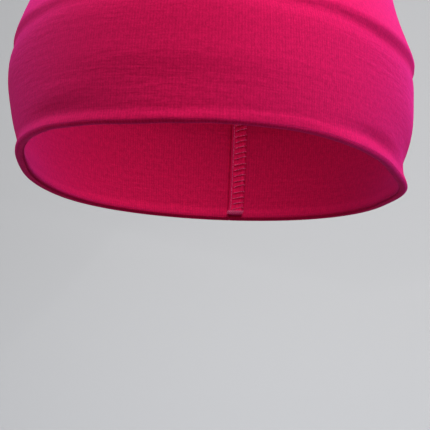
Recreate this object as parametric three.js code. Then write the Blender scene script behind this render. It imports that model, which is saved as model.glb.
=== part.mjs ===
// A wide sports headband in its worn shape: two layers of stretch jersey joined along both edges
// by enclosed seams and closed into a ring by one overlocked seam at the nape.
// Millimetres, +Z up, front towards -Y. The origin is on the axis of the head opening, at the
// level of the lowest point of the lower edge, which is at the nape.
import * as THREE from "three";

// Driving dimensions. Radii are from the head axis to the outer face of the lower edge.
const FRONT_RADIUS = 93.6;
const SIDE_RADIUS = 75;
const NAPE_RADIUS = 89;
const TEMPLE_HOLLOW = 1.2; // how much the ring is drawn in at the temples and fuller behind them
const FRONT_RISE = 26; // height of the lower edge over the brow
const SIDE_RISE = 12.6; // and over the ears; it is zero at the nape
const BAND_HEIGHT = 92; // lower edge to upper edge, along the cloth
const FOLD_HEIGHT = 45; // where the upper half turns in over the head, along the cloth
const FOLD_TURN = 10; // length of cloth over which it turns

// Lean of the cloth from the vertical in degrees, inwards positive: at the lower edge, just below
// the fold, just above the fold and at the upper edge. Each is for the front, the side, the nape.
const LEANS = [
  [-3, -11, -14],
  [14, -1, 4],
  [32, 24, 26],
  [22, 8, 14],
];

// Cloth and seams.
const CLOTH = 0.8; // thickness of one layer of jersey
const CLEARANCE = 0.3; // between neighbouring pieces
const EDGE_RADIUS = 1.8; // outer radius of the rounded edge that the seam allowance fills
const EDGE_SEAM_ANGLE = 125; // degrees round the edge from outside to where the layers meet
const EDGE_BLEND = 4.5; // over which the padded edge thins to the two bare layers
const ALLOWANCE_WIDTH = 3.6; // of the allowances turned in along both edges
const THREAD = 0.5; // thickness of a strand of thread

// The seam at the nape. Distances across it are from the seam line towards +X.
const NAPE_GAP = 0.4; // between the two ends of each layer
const NAPE_ALLOWANCE = { width: 6.2, thickness: 2 };
const NEEDLE_LINE = 0.9;
const OVERLOCK = { fromNeedle: 1.4, fromCutEdge: 0.9, pitch: 3 };
const TACK = { overhang: 0.6, height: 1.8 }; // past each side of the allowance
const LABEL = { length: 20, height: 12, thickness: 0.6, bottom: 54 };

// Relief of the cloth.
const FOLD_GROOVE = { depth: 0.8, reach: 2.6 }; // the line along which the upper half turns in
const FOLD_RIDGE = { above: 3.6, height: 1.3, reach: 3.6 }; // the soft ridge over that line
const EAR_ANGLE = 97; // degrees from the front
const EAR_FLARE = 2.4; // how far the ears push the lower edge out
const EAR_TUCK = 1.2; // how far the cloth above it is drawn in
const RIM_WAVE = 1.3; // of the slack upper edge

// Fineness of the mesh.
const RING_STEPS = 44;
const ARC_STEPS = 3;
const MERIDIAN_STEP = 1; // length of cloth between the points of a meridian
const FOLD_ROWS = [-4.2, 0, FOLD_RIDGE.above, 8.4]; // rows of corners near the fold, from it

const RADIANS = Math.PI / 180;
const MIDDLE = -(CLOTH + CLEARANCE / 2); // depth of the plane between the two layers
const BARE = CLOTH + CLEARANCE / 2; // from that plane to a layer's face away from the edges
const ALLOWANCE_RADIUS = EDGE_RADIUS - CLOTH - CLEARANCE;
const ALLOWANCE_FOOT = EDGE_RADIUS - ALLOWANCE_RADIUS;
const ALLOWANCE_TOP = ALLOWANCE_FOOT + ALLOWANCE_WIDTH;
const NAPE_ANGLE = Math.PI - NAPE_GAP / 2 / NAPE_RADIUS;

const mix = (from, to, t) => from + (to - from) * t;
const bump = (t) => Math.exp(-t * t);
const smooth = (t) => {
  const u = Math.min(Math.max(t, 0), 1);
  return u * u * (3 - 2 * u);
};
const series = (count, make) => Array.from({ length: count }, (_, i) => make(i));

// The curve round the head that takes three given values at the front, the sides and the nape.
const around =
  ([front, side, nape]) =>
  (angle) =>
    (front + 2 * side + nape) / 4 +
    ((front - nape) / 2) * Math.cos(angle) +
    ((front - 2 * side + nape) / 4) * Math.cos(2 * angle);

const edgeRadius = around([FRONT_RADIUS, SIDE_RADIUS, NAPE_RADIUS]);
const edgeRise = around([FRONT_RISE, SIDE_RISE, 0]);
const leans = LEANS.map(around);

// Lean of the cloth in radians at an angle from the front and a height along the cloth.
function lean(angle, height) {
  const [foot, below, above, rim] = leans.map((at) => at(angle) * RADIANS);
  const upperShare = (height - FOLD_HEIGHT) / (BAND_HEIGHT - FOLD_HEIGHT);
  const lower = mix(foot, below, Math.min(height / FOLD_HEIGHT, 1));
  const upper = mix(above, rim, Math.max(upperShare, 0));
  return mix(lower, upper, smooth((height - FOLD_HEIGHT) / FOLD_TURN + 0.4));
}

// Radius and rise at each step of cloth up the smooth outer face.
const meridians = new Map();
function meridian(angle) {
  if (!meridians.has(angle)) {
    const hollow = TEMPLE_HOLLOW * (Math.cos(3 * angle) - Math.cos(angle));
    let point = { radius: edgeRadius(angle) + hollow, rise: edgeRise(angle) };
    const points = [point];
    for (let h = 0; h < BAND_HEIGHT; h += MERIDIAN_STEP) {
      const tilt = lean(angle, h + MERIDIAN_STEP / 2);
      point = {
        radius: point.radius - Math.sin(tilt) * MERIDIAN_STEP,
        rise: point.rise + Math.cos(tilt) * MERIDIAN_STEP,
      };
      points.push(point);
    }
    meridians.set(angle, points);
  }
  return meridians.get(angle);
}

function smoothPoint(angle, height) {
  const points = meridian(angle);
  const place = height / MERIDIAN_STEP;
  const step = Math.min(Math.max(Math.floor(place), 0), points.length - 2);
  const [low, high] = [points[step], points[step + 1]];
  const radius = mix(low.radius, high.radius, place - step);
  return new THREE.Vector3(
    radius * Math.sin(angle),
    -radius * Math.cos(angle),
    mix(low.rise, high.rise, place - step),
  );
}

// How far the cloth stands proud of the smooth face.
function relief(angle, height) {
  const aboveFold = height - FOLD_HEIGHT;
  const fold =
    FOLD_RIDGE.height * bump((aboveFold - FOLD_RIDGE.above) / FOLD_RIDGE.reach) -
    FOLD_GROOVE.depth * bump(aboveFold / FOLD_GROOVE.reach);
  const foldStrength = 0.5 + 0.5 * smooth(Math.abs(Math.sin(angle)) * 1.4);
  const flare = EAR_FLARE * bump(height / 6) - EAR_TUCK * bump((height - 12) / 5);
  const ear = bump((Math.abs(angle) / RADIANS - EAR_ANGLE) / 12);
  const waves = 0.6 * Math.cos(5 * angle + 0.8) + 0.4 * Math.cos(8 * angle - 1);
  const slack = smooth((height - FOLD_HEIGHT - 12) / 35);
  return fold * foldStrength + flare * ear + RIM_WAVE * waves * slack;
}

// A point at a depth from the outer face: 0 on it, negative inside it.
function bandPoint(angle, height, depth) {
  const [turn, climb] = [0.004, 0.5];
  const across = smoothPoint(angle + turn, height);
  across.sub(smoothPoint(angle - turn, height));
  const up = smoothPoint(angle, height + climb);
  up.sub(smoothPoint(angle, height - climb));
  const outwards = across.cross(up).normalize();
  const proud = depth + relief(angle, height);
  return smoothPoint(angle, height).addScaledVector(outwards, proud);
}

const stationAngle = (step) => NAPE_ANGLE * (1 - (2 * step) / RING_STEPS);

// The triangles that close an end of a swept strip, found in the upright plane that it lies in.
function fillEnd(points) {
  const flat = points.map(({ x, y, z }) => new THREE.Vector2(Math.hypot(x, y), z));
  return THREE.ShapeUtils.triangulateShape(flat, []);
}

// Sweeps a section, drawn with depth as x and height as y, round the head from seam to seam.
// The diagonal of each facet depends on the height alone, so facing layers stay parallel.
function aroundHead(section) {
  if (THREE.ShapeUtils.isClockWise(section)) section.reverse();
  const count = section.length;
  const points = series(RING_STEPS + 1, (step) =>
    section.map(({ x, y }) => bandPoint(stationAngle(step), y, x)),
  );
  const index = [];
  for (let step = 0; step < RING_STEPS; step++) {
    section.forEach(({ y }, here) => {
      const next = (here + 1) % count;
      const [a, b] = [step * count + here, step * count + next];
      const [c, d] = [b + count, a + count];
      const rising = section[next].y > y;
      index.push(...(rising ? [a, b, c, a, c, d] : [a, b, d, b, c, d]));
    });
  }
  const last = RING_STEPS * count;
  for (const [a, b, c] of fillEnd(points[0])) index.push(a, c, b);
  for (const corners of fillEnd(points[RING_STEPS]))
    index.push(...corners.map((corner) => last + corner));
  const strip = new THREE.BufferGeometry().setFromPoints(points.flat());
  strip.setIndex(index);
  strip.computeVertexNormals();
  return strip;
}

// Half the thickness of the band at a height.
function halfThickness(height) {
  const fromEdge = Math.min(height, BAND_HEIGHT - height);
  const thinned = smooth((fromEdge - ALLOWANCE_TOP - CLEARANCE) / EDGE_BLEND);
  return mix(EDGE_RADIUS, BARE, thinned);
}

// The heights at which every layer has a row of corners.
function rowHeights() {
  const thin = ALLOWANCE_TOP + CLEARANCE + EDGE_BLEND;
  const edge = [
    EDGE_RADIUS,
    ALLOWANCE_TOP - ALLOWANCE_RADIUS,
    thin - EDGE_BLEND / 2,
    thin,
  ];
  const fold = FOLD_ROWS.map((row) => FOLD_HEIGHT + row);
  const below = series(2, (i) => mix(thin, fold[0], (i + 1) / 3));
  const above = series(2, (i) => mix(fold[3], BAND_HEIGHT - thin, (i + 1) / 3));
  const upperEdge = edge.map((height) => BAND_HEIGHT - height).reverse();
  return [...edge, ...below, ...fold, ...above, ...upperEdge];
}
const ROWS = rowHeights();

// An arc from one turn to another in degrees, in the section's plane.
function arc(centreX, centreY, radius, from, to) {
  return series(ARC_STEPS + 1, (i) => {
    const turn = mix(from, to, i / ARC_STEPS) * RADIANS;
    const [x, y] = [radius * Math.cos(turn), radius * Math.sin(turn)];
    return new THREE.Vector2(centreX + x, centreY + y);
  });
}

// Section of one layer, the outer one or the lining. Each curls round both edges to the seam.
function layerSection(isOuter) {
  const seamGap = CLEARANCE / (EDGE_RADIUS - CLOTH / 2) / RADIANS;
  const reach = isOuter ? EDGE_SEAM_ANGLE : 180 - EDGE_SEAM_ANGLE - seamGap;
  const skin = EDGE_RADIUS - CLOTH;
  const [foot, rim] = [EDGE_RADIUS, BAND_HEIGHT - EDGE_RADIUS];
  const rows = ROWS.slice(1, -1);
  const face = (inset) =>
    rows.map((row) => new THREE.Vector2(halfThickness(row) - inset, row));
  const outline = [
    ...face(0),
    ...arc(0, rim, EDGE_RADIUS, 0, reach),
    ...arc(0, rim, skin, reach, 0),
    ...face(CLOTH).reverse(),
    ...arc(0, foot, skin, 0, -reach),
    ...arc(0, foot, EDGE_RADIUS, -reach, 0),
  ];
  const side = isOuter ? 1 : -1;
  return outline.map(({ x, y }) => new THREE.Vector2(MIDDLE + side * x, y));
}

// Section of the allowances enclosed in the lower edge: a bar with round ends.
function allowanceSection() {
  const top = ALLOWANCE_TOP - ALLOWANCE_RADIUS;
  return [
    ...arc(MIDDLE, EDGE_RADIUS, ALLOWANCE_RADIUS, -180, 0),
    ...arc(MIDDLE, top, ALLOWANCE_RADIUS, 0, 180),
  ];
}

// Section of the overlock thread that binds them, just above them.
function threadSection() {
  const centre = ALLOWANCE_TOP + CLEARANCE + THREAD / 2;
  return [
    ...arc(MIDDLE, centre, THREAD / 2, -180, 0),
    ...arc(MIDDLE, centre, THREAD / 2, 0, 180).slice(1, -1),
  ];
}

const turnedOver = (section) =>
  section.map(({ x, y }) => new THREE.Vector2(x, BAND_HEIGHT - y));

// A point at a distance in from the skin face of the lining, measured from that face's own
// facets, so that a small piece keeps its distance from them.
function skinPoint(angle, height, inwards) {
  const place = ((1 - angle / NAPE_ANGLE) / 2) * RING_STEPS;
  const step = Math.min(Math.max(Math.floor(place), 0), RING_STEPS - 1);
  const upper = ROWS.findIndex((row) => row >= height);
  const [low, high] = [ROWS[Math.max(upper, 1) - 1], ROWS[Math.max(upper, 1)]];
  const corner = (station, row) => {
    const depth = MIDDLE - halfThickness(row) - inwards;
    return bandPoint(stationAngle(station), row, depth);
  };
  const share = (height - low) / (high - low);
  const side = (station) =>
    corner(station, low).lerp(corner(station, high), share);
  return side(step).lerp(side(step + 1), place - step);
}

// Lays a geometry on the skin side of the nape: its x goes across from the seam line towards
// +X, its y is the height along the cloth, and its z is the distance in from the lining.
function onNape(geometry) {
  const position = geometry.getAttribute("position");
  for (let i = 0; i < position.count; i++) {
    const angle = Math.PI - position.getX(i) / NAPE_RADIUS;
    const point = skinPoint(angle, position.getY(i), position.getZ(i));
    position.setXYZ(i, ...point);
  }
  geometry.computeVertexNormals();
  return geometry;
}

// A flat bar for the nape, from a height to another, with a row at each height of the layers.
function napeBar(across, width, from, to, inwards, thickness) {
  const inner = ROWS.filter((row) => row > from + 0.5 && row < to - 0.5);
  const rows = [from, ...inner, to];
  const last = rows.length - 1;
  const columns = Math.ceil(width / 3);
  const bar = new THREE.BoxGeometry(width, last, thickness, columns, last, 1);
  bar.translate(across + width / 2, last / 2, inwards + thickness / 2);
  const position = bar.getAttribute("position");
  for (let i = 0; i < position.count; i++)
    position.setY(i, rows[Math.round(position.getY(i))]);
  return onNape(bar);
}

const ON_LINING = CLEARANCE;
const ON_ALLOWANCE = NAPE_ALLOWANCE.thickness + 2 * CLEARANCE;
const STITCHES_FROM = EDGE_RADIUS + TACK.height + CLEARANCE;

function napeAllowance() {
  const { width, thickness } = NAPE_ALLOWANCE;
  const top = BAND_HEIGHT - EDGE_RADIUS;
  return napeBar(0, width, EDGE_RADIUS, top, ON_LINING, thickness);
}

function napeNeedleThread() {
  const [from, to] = [STITCHES_FROM, BAND_HEIGHT - STITCHES_FROM];
  return napeBar(NEEDLE_LINE - THREAD / 2, THREAD, from, to, ON_ALLOWANCE, THREAD);
}

// The overlock thread on the allowance, a zigzag from the needle line to the cut edge.
function napeOverlockThread() {
  const near = NEEDLE_LINE + OVERLOCK.fromNeedle;
  const far = NAPE_ALLOWANCE.width - OVERLOCK.fromCutEdge;
  const rise = OVERLOCK.pitch / 2;
  const reach = (THREAD / 2) * (Math.hypot(far - near, rise) / rise);
  const turns = Math.floor((BAND_HEIGHT - 2 * STITCHES_FROM) / rise);
  const start = (BAND_HEIGHT - turns * rise) / 2;
  const edge = (side) =>
    series(turns + 1, (i) => {
      const across = (i % 2 ? far : near) + side * reach;
      return new THREE.Vector2(across, start + i * rise);
    });
  const zigzag = new THREE.Shape([...edge(1), ...edge(-1).reverse()]);
  const options = { depth: THREAD, steps: 1, bevelEnabled: false };
  const strip = new THREE.ExtrudeGeometry(zigzag, options);
  return onNape(strip.translate(0, 0, ON_ALLOWANCE));
}

// A bar tack across one end of the allowance, centred on it.
function tack(foot) {
  const length = NAPE_ALLOWANCE.width + 2 * TACK.overhang;
  const top = foot + TACK.height;
  return napeBar(-TACK.overhang, length, foot, top, ON_ALLOWANCE, THREAD);
}

// The blank label, held in the nape seam and lying on the lining.
function careLabel() {
  const { length, height, thickness, bottom } = LABEL;
  const across = NAPE_ALLOWANCE.width + CLEARANCE;
  return napeBar(across, length, bottom, bottom + height, ON_LINING, thickness);
}

const finish = (color, roughness) =>
  new THREE.MeshStandardMaterial({ color, roughness, metalness: 0 });
const outerJersey = finish("#c8185c", 0.85);
const liningJersey = finish("#b81553", 0.85);
const thread = finish("#d22468", 0.55);
const satin = finish("#f1eeea", 0.4);

const headband = new THREE.Group();
function add(name, geometry, material) {
  const piece = new THREE.Mesh(geometry, material);
  piece.name = name;
  headband.add(piece);
}

add("outer_panel", aroundHead(layerSection(true)), outerJersey);
add("lining_panel", aroundHead(layerSection(false)), liningJersey);
const allowance = allowanceSection();
add("lower_seam_allowance", aroundHead(allowance), outerJersey);
add("upper_seam_allowance", aroundHead(turnedOver(allowance)), outerJersey);
const strand = threadSection();
add("lower_overlock_thread", aroundHead(strand), thread);
add("upper_overlock_thread", aroundHead(turnedOver(strand)), thread);
add("nape_seam_allowance", napeAllowance(), outerJersey);
add("nape_needle_thread", napeNeedleThread(), thread);
add("nape_overlock_thread", napeOverlockThread(), thread);
add("lower_bar_tack", tack(EDGE_RADIUS), thread);
add("upper_bar_tack", tack(BAND_HEIGHT - EDGE_RADIUS - TACK.height), thread);
add("care_label", careLabel(), satin);

export default headband;
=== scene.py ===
import logging
import math
from dataclasses import dataclass, field
from enum import Enum
from functools import cached_property
from typing import Any, Callable, Sequence

import bpy
import numpy as np
from mathutils import Matrix, Vector


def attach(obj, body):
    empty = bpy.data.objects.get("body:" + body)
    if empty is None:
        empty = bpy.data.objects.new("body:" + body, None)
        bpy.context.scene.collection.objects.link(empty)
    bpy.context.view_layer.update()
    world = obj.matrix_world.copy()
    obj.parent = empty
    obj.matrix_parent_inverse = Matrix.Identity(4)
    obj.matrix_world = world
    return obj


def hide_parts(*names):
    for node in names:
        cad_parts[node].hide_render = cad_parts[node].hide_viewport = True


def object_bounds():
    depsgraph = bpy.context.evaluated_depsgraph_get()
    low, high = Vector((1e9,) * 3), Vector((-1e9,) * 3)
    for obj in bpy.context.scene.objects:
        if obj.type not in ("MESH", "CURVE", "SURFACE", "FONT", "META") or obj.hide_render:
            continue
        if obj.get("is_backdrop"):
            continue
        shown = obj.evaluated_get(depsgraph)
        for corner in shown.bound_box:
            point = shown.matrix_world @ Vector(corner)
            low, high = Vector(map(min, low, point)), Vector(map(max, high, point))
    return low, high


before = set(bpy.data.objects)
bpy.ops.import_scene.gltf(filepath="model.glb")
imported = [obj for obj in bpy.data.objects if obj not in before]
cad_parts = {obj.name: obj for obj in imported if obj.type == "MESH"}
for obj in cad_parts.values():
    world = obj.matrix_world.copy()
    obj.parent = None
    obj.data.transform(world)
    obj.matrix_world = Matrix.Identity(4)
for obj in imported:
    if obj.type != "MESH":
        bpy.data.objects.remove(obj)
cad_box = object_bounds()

log = logging.getLogger("headband")

MM = 0.001
BODY = "root"
CLOTH_UV = "cloth"
Array = np.ndarray


# ---------------------------------------------------------------- curves and numbers


def smooth(t: Array | float) -> Array:
    """Eases from 0 to 1 as t goes from 0 to 1.

    Args:
        t: The share of the way, clipped to 0 and 1.

    Returns:
        The eased share.
    """
    u = np.clip(t, 0.0, 1.0)
    return u * u * (3.0 - 2.0 * u)


def bump(t: Array | float) -> Array:
    """A round hill of height 1 over t = 0, nearly gone at t = 2.

    Args:
        t: The distance from the hill's middle, in half widths.

    Returns:
        The hill's height.
    """
    return np.exp(-np.square(t))


def turned(angle: Array | float) -> Array:
    """Brings an angle into the turn from -180 to 180 degrees.

    Args:
        angle: An angle in degrees.

    Returns:
        The same direction within half a turn of the front.
    """
    return (np.asarray(angle) + 180.0) % 360.0 - 180.0


@dataclass(frozen=True)
class RoundHead:
    """A size that changes smoothly round the head.

    Attributes:
        front: Its value over the brow.
        side: Its value over the ears.
        nape: Its value at the nape.
    """

    front: float
    side: float
    nape: float

    def at(self, angle: Array) -> Array:
        """The value in a direction.

        Args:
            angle: The direction in radians from the front.

        Returns:
            The value there.
        """
        level = (self.front + 2.0 * self.side + self.nape) / 4.0
        lengthwise = (self.front - self.nape) / 2.0 * np.cos(angle)
        oval = (self.front - 2.0 * self.side + self.nape) / 4.0 * np.cos(2.0 * angle)
        return level + lengthwise + oval


@dataclass(frozen=True)
class Crease:
    """One dent or soft ridge in the cloth, longer than it is wide.

    Attributes:
        angle: Degrees from the front, towards +X, of its middle.
        height: Its middle's distance up the cloth from the lower edge, in millimetres.
        reach: Half its length in millimetres.
        width: Half its width in millimetres.
        rise: How far it stands out in millimetres; a dent is negative.
        slant: Degrees by which its +X end is turned up.
    """

    angle: float
    height: float
    reach: float
    width: float
    rise: float
    slant: float = 0.0

    def relief(self, angle: Array, height: Array, radius: float) -> Array:
        """How far this crease moves the cloth out.

        Args:
            angle: Directions in radians from the front.
            height: Distances up the cloth in metres.
            radius: The band's mean radius in metres, which turns angles into lengths.

        Returns:
            The move in metres.
        """
        along = np.radians(turned(np.degrees(angle) - self.angle)) * radius / MM
        up = height / MM - self.height
        turn = math.radians(self.slant)
        length = along * math.cos(turn) + up * math.sin(turn)
        across = up * math.cos(turn) - along * math.sin(turn)
        return self.rise * MM * bump(length / self.reach) * bump(across / self.width)


@dataclass(frozen=True)
class RoundCurve:
    """A value given in a few directions and eased between them, right round the band.

    Attributes:
        knots: Pairs of a direction in degrees, from -180 to 180, and the value there.
    """

    knots: tuple[tuple[float, float], ...]

    def at(self, angle: Array) -> Array:
        """The value in a direction.

        Args:
            angle: The direction in radians from the front.

        Returns:
            The value there.
        """
        directions, values = np.array(self.knots).T
        directions = np.append(directions, directions[0] + 360.0)
        values = np.append(values, values[0])
        degrees = (np.degrees(angle) - directions[0]) % 360.0
        edges = directions - directions[0]
        span = np.clip(np.searchsorted(edges, degrees, "right") - 1, 0, len(edges) - 2)
        share = (degrees - edges[span]) / (edges[span + 1] - edges[span])
        return values[span] + (values[span + 1] - values[span]) * smooth(share)


@dataclass(frozen=True)
class FoldLine:
    """The crease round the band over which its upper part slumps.

    Attributes:
        height: Its height up the cloth in millimetres, by direction.
        ridge: How far the cloth just above it stands out in millimetres, by direction.
        groove: How deep it is in millimetres, by direction.
        slump: How far up the cloth the ridge dies out in millimetres.
        ridge_above: How far above the fold the ridge stands highest, in millimetres.
        groove_under: How far under the fold the groove is deepest, in millimetres.
        groove_reach: How far the groove reaches down from there and up, in millimetres.
    """

    height: RoundCurve
    ridge: RoundCurve
    groove: RoundCurve
    slump: float = 15.0
    ridge_above: float = 2.4
    groove_under: float = 1.4
    groove_reach: tuple[float, float] = (3.8, 1.8)

    def relief(self, angle: Array, height: Array) -> Array:
        """How far the crease moves the cloth out.

        Args:
            angle: Directions in radians from the front.
            height: Distances up the cloth in metres.

        Returns:
            The move in metres.
        """
        over = height / MM - self.height.at(angle)
        above, below = over - self.ridge_above, over + self.groove_under
        hill = bump(above / np.where(above > 0.0, self.slump, self.ridge_above))
        dip = bump(below / np.where(below < 0.0, *self.groove_reach))
        return (self.ridge.at(angle) * hill - self.groove.at(angle) * dip) * MM


# Values round the band stand against degrees from the front, the wearer's left positive.
FOLD = FoldLine(
    height=RoundCurve(((-180.0, 46.0), (-74.0, 45.8), (-50.0, 46.4), (-30.0, 47.4),
                       (30.0, 47.8), (60.0, 46.2), (85.0, 46.6), (130.0, 46.0))),
    ridge=RoundCurve(((-180.0, 0.6), (-110.0, 0.2), (-74.0, 0.0), (-55.0, 0.3),
                      (-30.0, 0.5), (5.0, 0.3), (30.0, 0.9), (60.0, 1.2), (100.0, 1.1),
                      (140.0, 0.7))),
    groove=RoundCurve(((-180.0, 0.4), (-74.0, 1.1), (-50.0, 0.8), (-30.0, 0.4),
                       (5.0, 0.1), (30.0, 0.8), (60.0, 1.2), (95.0, 0.9), (140.0, 0.5))),
)

# How far the padded hem stands out of the cloth above it, in millimetres.
HEM_STAND = RoundCurve(((-180.0, 0.3), (-40.0, 0.25), (-23.0, 0.1), (-9.0, 0.05),
                        (0.0, 0.15), (8.0, -0.1), (16.0, -0.45), (26.0, -0.6),
                        (36.0, -0.35), (44.0, -0.1), (54.0, -0.3), (66.0, 0.0),
                        (80.0, 0.2), (100.0, 0.3)))

# How far the hem hangs under its smooth line, in millimetres.
HEM_SAG = RoundCurve(((-180.0, 0.0), (-36.0, 0.0), (-24.0, 0.7), (-9.0, 1.5),
                      (0.0, 1.2), (8.0, 0.6), (18.0, 0.3), (28.0, 0.0), (46.0, 0.4),
                      (75.0, 0.2), (110.0, 0.0)))

# How far the hem stands off over the ears, in millimetres.
EAR_FLARE = RoundCurve(((-180.0, 0.0), (-120.0, 0.0), (-97.0, 0.5), (-76.0, 0.0),
                        (76.0, 0.0), (97.0, 2.4), (122.0, 0.0)))

CREASES = (
    # The lower part swells over the ears.
    Crease(98.0, 24.0, 42.0, 11.0, 1.3),
    Crease(-80.0, 32.0, 42.0, 10.0, 1.1),
    # The edge on the wearer's right draws in where it passes the temple.
    Crease(-92.0, 4.0, 46.0, 9.0, -2.1),
    # The cloth bags a little across the brow, and more just over the hem there.
    Crease(0.0, 23.0, 44.0, 5.5, 0.32),
    Crease(-3.0, 3.0, 21.0, 9.0, 1.25),
    # It swells above the fold, and again low over the right temple.
    Crease(-58.0, 56.0, 14.0, 9.0, 0.8),
    Crease(-30.0, 13.0, 17.0, 4.5, 0.3),
    # Hollows follow the hem on both sides.
    Crease(-35.0, 6.0, 13.0, 2.6, -0.4),
    Crease(59.0, 6.2, 19.0, 2.6, -1.1),
)


# ---------------------------------------------------------------- the worn form


@dataclass(frozen=True)
class BandForm:
    """The worn shape of the band, to which every piece is laid. Lengths are in metres.

    Directions are radians from the front towards +X, heights run up the cloth from the lower
    edge, and depths are measured out from the smooth outer face, so inside is negative.

    Attributes:
        radius: Distance of the lower edge from the head's axis.
        rise: How high the lower edge lies over its nape.
        temple_hollow: How far it draws in ahead of the ears.
        height: Length of the cloth from edge to edge.
        fold_height: Height of the fold.
        fold_turn: Length over which the cloth turns in at the fold.
        fold_early: Share of the turn made under the fold.
        leans: Lean in degrees at the foot, under the fold, above it and at the rim.
        cloth: Thickness of a layer.
        ply_gap: Space between the layers.
        nape_gap: Width of the gap that the nape seam closes.
        fold: The worn crease along the fold.
        ear_flare: How far the hem stands off over the ears.
        flare_reach: How far up that flare reaches.
        ear_tuck: Share of the flare by which the cloth above it draws in.
        tuck_height: Height where it draws in most.
        tuck_reach: Half the height of the tuck.
        hem_stand: How far the hem stands out.
        hem_sag: How far it hangs.
        hem_sag_length: How far up the cloth the sag dies out.
        hem_crest: Distance from the edge up to which the hem stands out fully.
        hem_length: Length over which that dies out.
        rim_wave: Height of the waves in the slack upper edge.
        rim_waves: Share, number round the head and phase of each wave.
        slack_from: Height where the waves begin.
        slack_length: Length over which they grow.
        stations: Stations round the table of the smooth face.
        step: Step up the cloth in that table.
        creases: The other worn creases.
    """

    radius: RoundHead = RoundHead(93.6 * MM, 75.0 * MM, 89.0 * MM)
    rise: RoundHead = RoundHead(26.0 * MM, 12.6 * MM, 0.0)
    temple_hollow: float = 1.2 * MM
    height: float = 92.0 * MM
    fold_height: float = 45.0 * MM
    fold_turn: float = 10.0 * MM
    fold_early: float = 0.4
    leans: tuple[RoundHead, ...] = (
        RoundHead(-3.0, -11.0, -14.0),
        RoundHead(14.0, -1.0, 4.0),
        RoundHead(32.0, 24.0, 26.0),
        RoundHead(22.0, 8.0, 14.0),
    )
    cloth: float = 0.8 * MM
    ply_gap: float = 0.3 * MM
    nape_gap: float = 0.4 * MM
    fold: FoldLine = FOLD
    ear_flare: RoundCurve = EAR_FLARE
    flare_reach: float = 6.0 * MM
    ear_tuck: float = 0.25
    tuck_height: float = 11.0 * MM
    tuck_reach: float = 4.0 * MM
    hem_stand: RoundCurve = HEM_STAND
    hem_sag: RoundCurve = HEM_SAG
    hem_sag_length: float = 20.0 * MM
    hem_crest: float = 1.3 * MM
    hem_length: float = 3.2 * MM
    rim_wave: float = 1.3 * MM
    rim_waves: tuple[tuple[float, float, float], ...] = ((0.6, 5.0, 0.8), (0.4, 8.0, -1.0))
    slack_from: float = 57.0 * MM
    slack_length: float = 35.0 * MM
    stations: int = 720
    step: float = 0.5 * MM
    creases: tuple[Crease, ...] = CREASES

    @property
    def middle(self) -> float:
        """Depth of the plane between the two layers."""
        return -(self.cloth + self.ply_gap / 2.0)

    @property
    def nape_angle(self) -> float:
        """Direction of the seam's edge on the +X side."""
        return math.pi - self.nape_gap / 2.0 / self.radius.nape

    @property
    def mean_radius(self) -> float:
        """The radius that turns angles into lengths of cloth."""
        return (self.radius.front + 2.0 * self.radius.side + self.radius.nape) / 4.0

    def from_edge(self, height: Array) -> Array:
        """Distance of each height from the nearer edge."""
        return np.minimum(height, self.height - height)

    def lean(self, angle: Array, height: Array) -> Array:
        """Lean of the cloth in radians from the vertical, inwards positive.

        Args:
            angle: Directions.
            height: Heights.

        Returns:
            The lean at each.
        """
        foot, below, above, rim = [np.radians(lean.at(angle)) for lean in self.leans]
        lower = foot + (below - foot) * np.clip(height / self.fold_height, 0.0, 1.0)
        upper_length = self.height - self.fold_height
        upper_share = np.clip((height - self.fold_height) / upper_length, 0.0, 1.0)
        upper = above + (rim - above) * upper_share
        turn = smooth((height - self.fold_height) / self.fold_turn + self.fold_early)
        return lower + (upper - lower) * turn

    @cached_property
    def meridians(self) -> Array:
        """Radius and rise of the smooth face at each station round and step up the cloth."""
        angle = np.linspace(-math.pi, math.pi, self.stations + 1)[:, None]
        middles = (np.arange(round(self.height / self.step)) + 0.5) * self.step
        tilt = self.lean(angle, middles[None, :])
        hollow = self.temple_hollow * (np.cos(3.0 * angle) - np.cos(angle))
        start = self.radius.at(angle) + hollow
        radius = start - np.cumsum(np.sin(tilt), axis=1) * self.step
        rise = self.rise.at(angle) + np.cumsum(np.cos(tilt), axis=1) * self.step
        radius = np.concatenate([start, radius], axis=1)
        rise = np.concatenate([self.rise.at(angle), rise], axis=1)
        return np.stack([radius, rise], axis=-1)

    def smooth_point(self, angle: Array, height: Array) -> Array:
        """Points of the smooth outer face.

        Args:
            angle: Directions.
            height: Heights, as many as the directions.

        Returns:
            An array of points.
        """
        table = self.meridians
        around = (turned(np.degrees(angle)) / 360.0 + 0.5) * self.stations
        up = height / self.step
        i = np.clip(np.floor(around).astype(int), 0, table.shape[0] - 2)
        j = np.clip(np.floor(up).astype(int), 0, table.shape[1] - 2)
        a, b = (around - i)[..., None], (up - j)[..., None]
        low = table[i, j] * (1.0 - a) + table[i + 1, j] * a
        high = table[i, j + 1] * (1.0 - a) + table[i + 1, j + 1] * a
        radius, rise = np.moveaxis(low * (1.0 - b) + high * b, -1, 0)
        return np.stack([radius * np.sin(angle), -radius * np.cos(angle), rise], axis=-1)

    def relief(self, angle: Array, height: Array) -> Array:
        """How far the worn cloth stands out of the smooth face.

        Args:
            angle: Directions.
            height: Heights.

        Returns:
            The move outwards in metres.
        """
        tuck = bump((height - self.tuck_height) / self.tuck_reach)
        flare = bump(height / self.flare_reach) - self.ear_tuck * tuck
        thinned = smooth((self.from_edge(height) - self.hem_crest) / self.hem_length)
        hem = self.ear_flare.at(angle) * flare + self.hem_stand.at(angle) * (1.0 - thinned)
        slack = smooth((height - self.slack_from) / self.slack_length)
        waves = [share * np.cos(count * angle + phase) for share, count, phase in self.rim_waves]
        total = self.fold.relief(angle, height) + hem * MM
        total = total + self.rim_wave * sum(waves) * slack
        for crease in self.creases:
            total = total + crease.relief(angle, height, self.mean_radius)
        return total

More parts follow.
